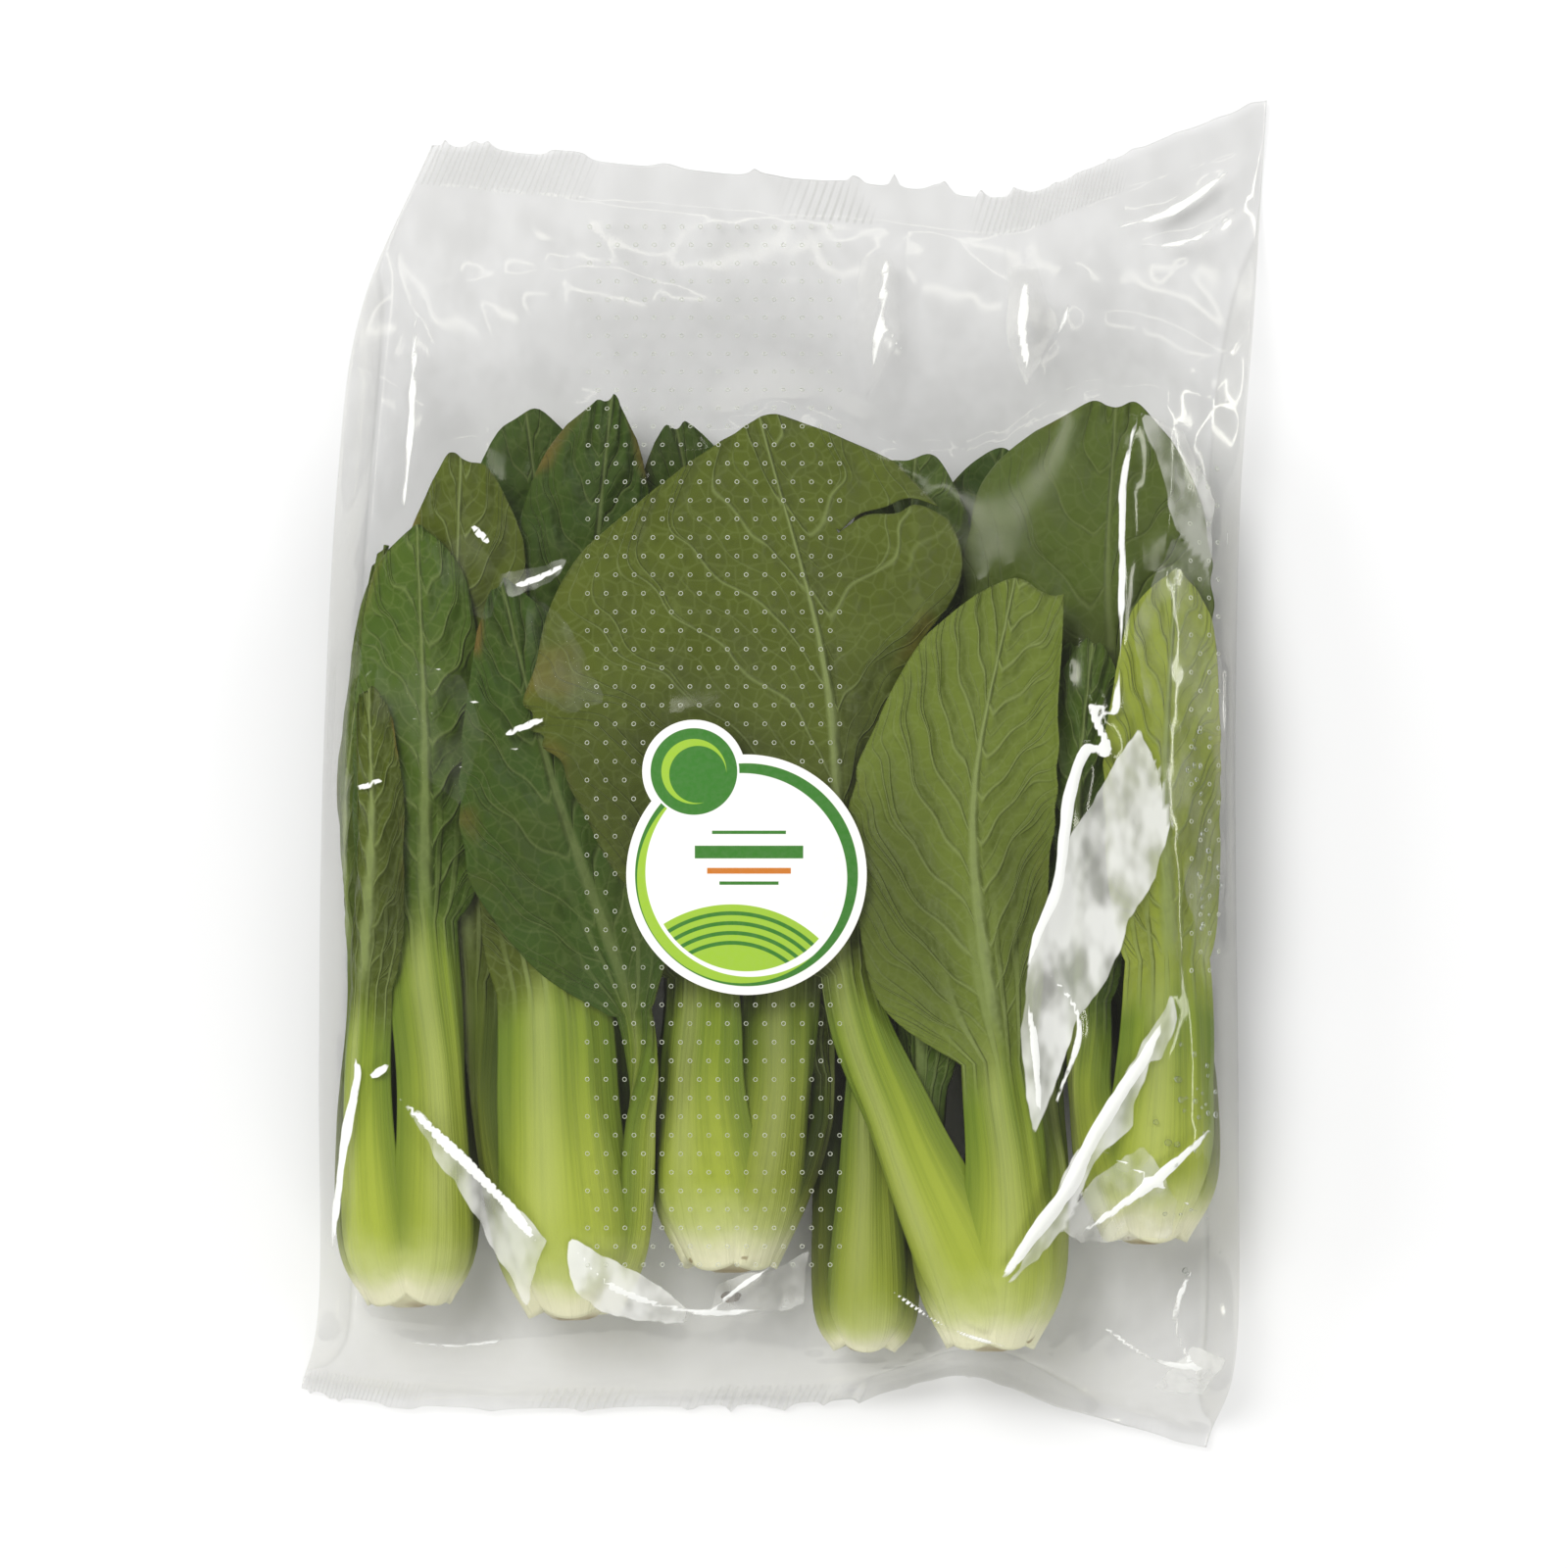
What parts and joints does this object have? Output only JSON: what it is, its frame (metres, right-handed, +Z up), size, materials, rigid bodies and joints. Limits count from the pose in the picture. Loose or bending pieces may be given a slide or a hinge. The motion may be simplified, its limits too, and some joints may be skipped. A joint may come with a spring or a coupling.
{
  "type": "bok choy bunch",
  "caption": "Small bok choy heads lying side by side in a clear sealed film bag with a round paper label.",
  "frame": {"origin": "centre of the bag's outline, on the table that it lies on", "axes": "+Y from the cut stems to the leaf tips along the bag, +X to the right, +Z up out of the table"},
  "size_m": [0.199, 0.277, 0.0493],
  "materials": {
    "greens": "fresh leaf: mid green backs, darker insides, pale yellow-green ribbed stalks, cream bulbs",
    "film": "clear glossy wrapping film with fine vent dots and crimped end seals",
    "paper": "white coated paper label with plain green rings and bars, no lettering"
  },
  "bodies": {
    "root": {"head_far_left": "greens", "head_left": "greens", "head_middle": "greens", "head_behind": "greens", "head_centre": "greens", "head_right": "greens", "bag": "film", "label": "paper"}
  },
  "joints": []
}
